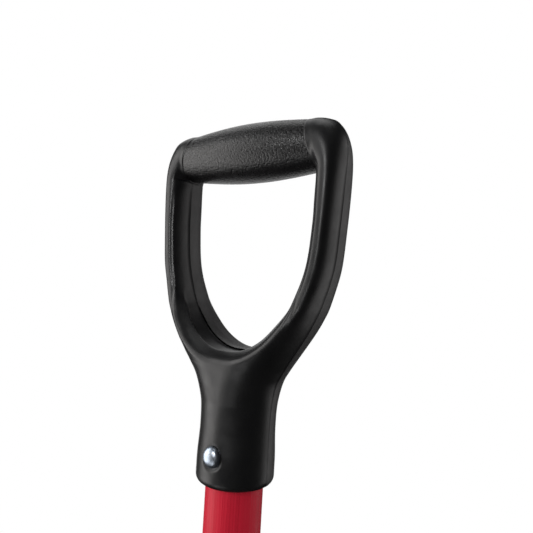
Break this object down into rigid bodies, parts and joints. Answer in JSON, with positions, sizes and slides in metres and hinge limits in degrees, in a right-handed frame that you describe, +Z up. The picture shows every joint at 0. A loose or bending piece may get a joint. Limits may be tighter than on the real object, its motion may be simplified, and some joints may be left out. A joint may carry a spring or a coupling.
{
  "type": "breaker bar",
  "caption": "Long straight prying and breaking bar with a D-shaped moulded grip, a grained crossbar, a round fibreglass shaft and a riveted steel socket carrying a flat chisel blade",
  "frame": {"origin": "underside of the crossbar at mid length, where the tool hangs on a hook", "axes": "+Z up the shaft towards the grip, +X along the crossbar, -Y the front, where the rivets' domed heads show"},
  "size_m": [0.1302, 0.0527, 1.02],
  "materials": {
    "grip_plastic": "satin moulded black polypropylene",
    "grained_plastic": "fine leather-like moulded grain",
    "nylon": "plain moulded",
    "zinc": "bright zinc plate",
    "red_fibreglass": "gloss red resin over lengthwise glass fibre",
    "foam": "rigid foam",
    "rubber": "matt black",
    "forged_steel": "black-finished forged steel, bright at the ground edge"
  },
  "bodies": {
    "root": {"grip_front_shell": "grip_plastic", "grip_rear_shell": "grip_plastic", "grip_crossbar_sleeve": "grained_plastic", "grip_crossbar_core": "nylon", "grip_rivet": "zinc", "grip_rivet_burr": "zinc", "shaft_tube": "red_fibreglass", "shaft_top_plug": "nylon", "shaft_foam_core": "foam", "shaft_bottom_plug": "nylon", "shaft_collar": "rubber", "head_socket": "forged_steel", "blade": "forged_steel", "head_rivet_upper": "zinc", "head_rivet_upper_burr": "zinc", "head_rivet_lower": "zinc", "head_rivet_lower_burr": "zinc"}
  },
  "joints": []
}
